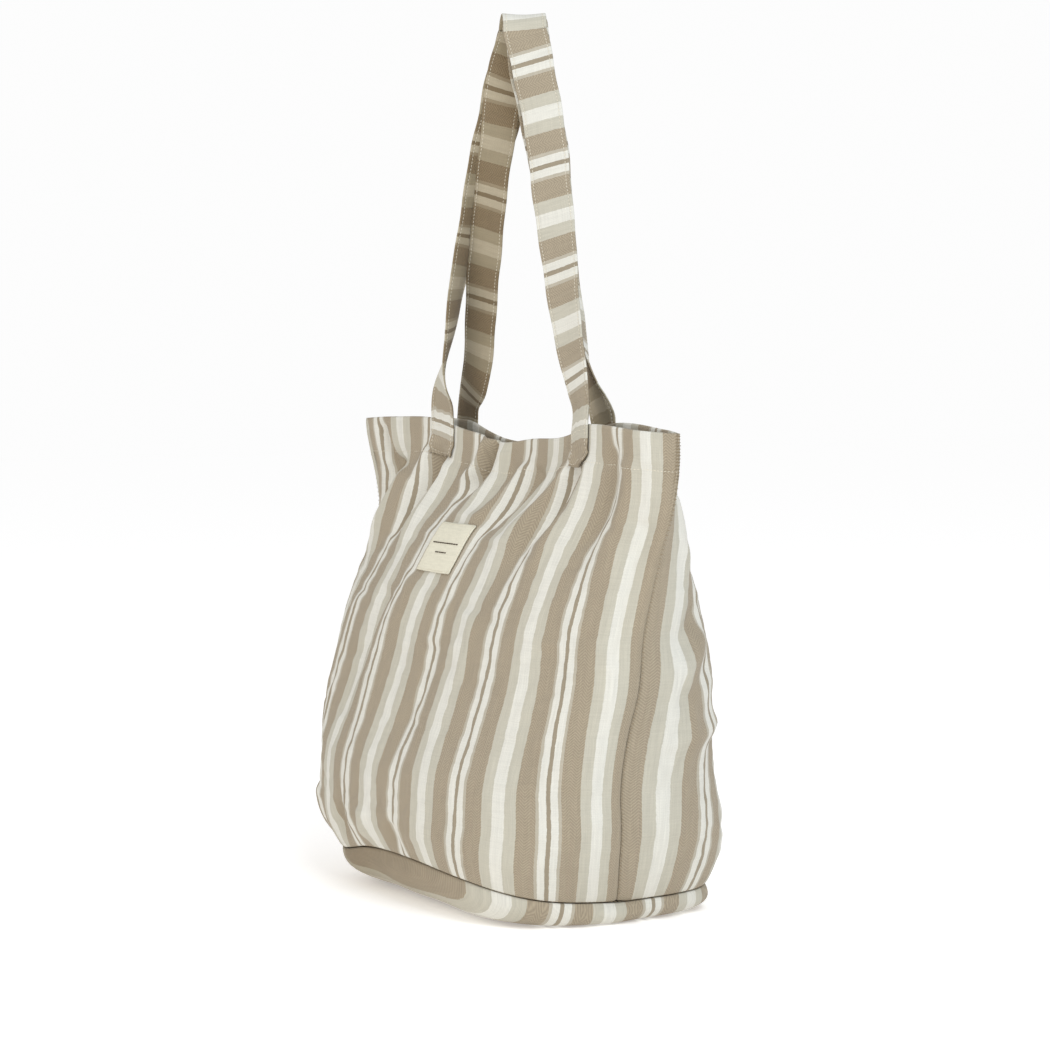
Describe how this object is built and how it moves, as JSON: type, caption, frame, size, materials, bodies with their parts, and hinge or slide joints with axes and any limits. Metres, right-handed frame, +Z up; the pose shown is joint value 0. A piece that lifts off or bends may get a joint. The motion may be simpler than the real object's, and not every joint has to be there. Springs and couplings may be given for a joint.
{
  "type": "tote bag",
  "caption": "Striped cloth tote bag with a rounded rectangular base, a folded hem and two flat shoulder straps that fold down to either side.",
  "frame": {"origin": "middle of the underside of the base, where the bag stands", "axes": "+X along the mouth to the bag's right, -Y out of the front, where the label is, +Z up"},
  "size_m": [0.5104, 0.257, 0.726],
  "materials": {
    "striped_cloth": "matt woven cotton with twill stripes",
    "strap_cloth": "matt woven cotton, doubled",
    "label_cloth": "matt cream tape",
    "thread": "pale cotton thread"
  },
  "bodies": {
    "bag": {"front_panel": "striped_cloth", "back_panel": "striped_cloth", "base_panel": "striped_cloth", "label": "label_cloth", "front_handle_left_tab": "strap_cloth", "front_handle_right_tab": "strap_cloth", "back_handle_left_tab": "strap_cloth", "back_handle_right_tab": "strap_cloth", "front_hem_stitching": "thread", "back_hem_stitching": "thread", "left_side_seam_stitching": "thread", "right_side_seam_stitching": "thread", "base_seam_stitching": "thread", "label_stitching": "thread", "front_handle_left_tab_stitching": "thread", "front_handle_right_tab_stitching": "thread", "back_handle_left_tab_stitching": "thread", "back_handle_right_tab_stitching": "thread"},
    "front_handle": {"front_handle": "strap_cloth", "front_handle_topstitching": "thread"},
    "back_handle": {"back_handle": "strap_cloth", "back_handle_topstitching": "thread"}
  },
  "joints": [
    {"name": "front_handle_fold", "type": "hinge", "parent": "bag", "child": "front_handle", "pos_m": [0, -0.01189, 0.395], "axis": [1, 0, 0], "range_deg": [0, 130]},
    {"name": "back_handle_fold", "type": "hinge", "parent": "bag", "child": "back_handle", "pos_m": [0, 0.01221, 0.395], "axis": [-1, 0, 0], "range_deg": [0, 130]}
  ]
}
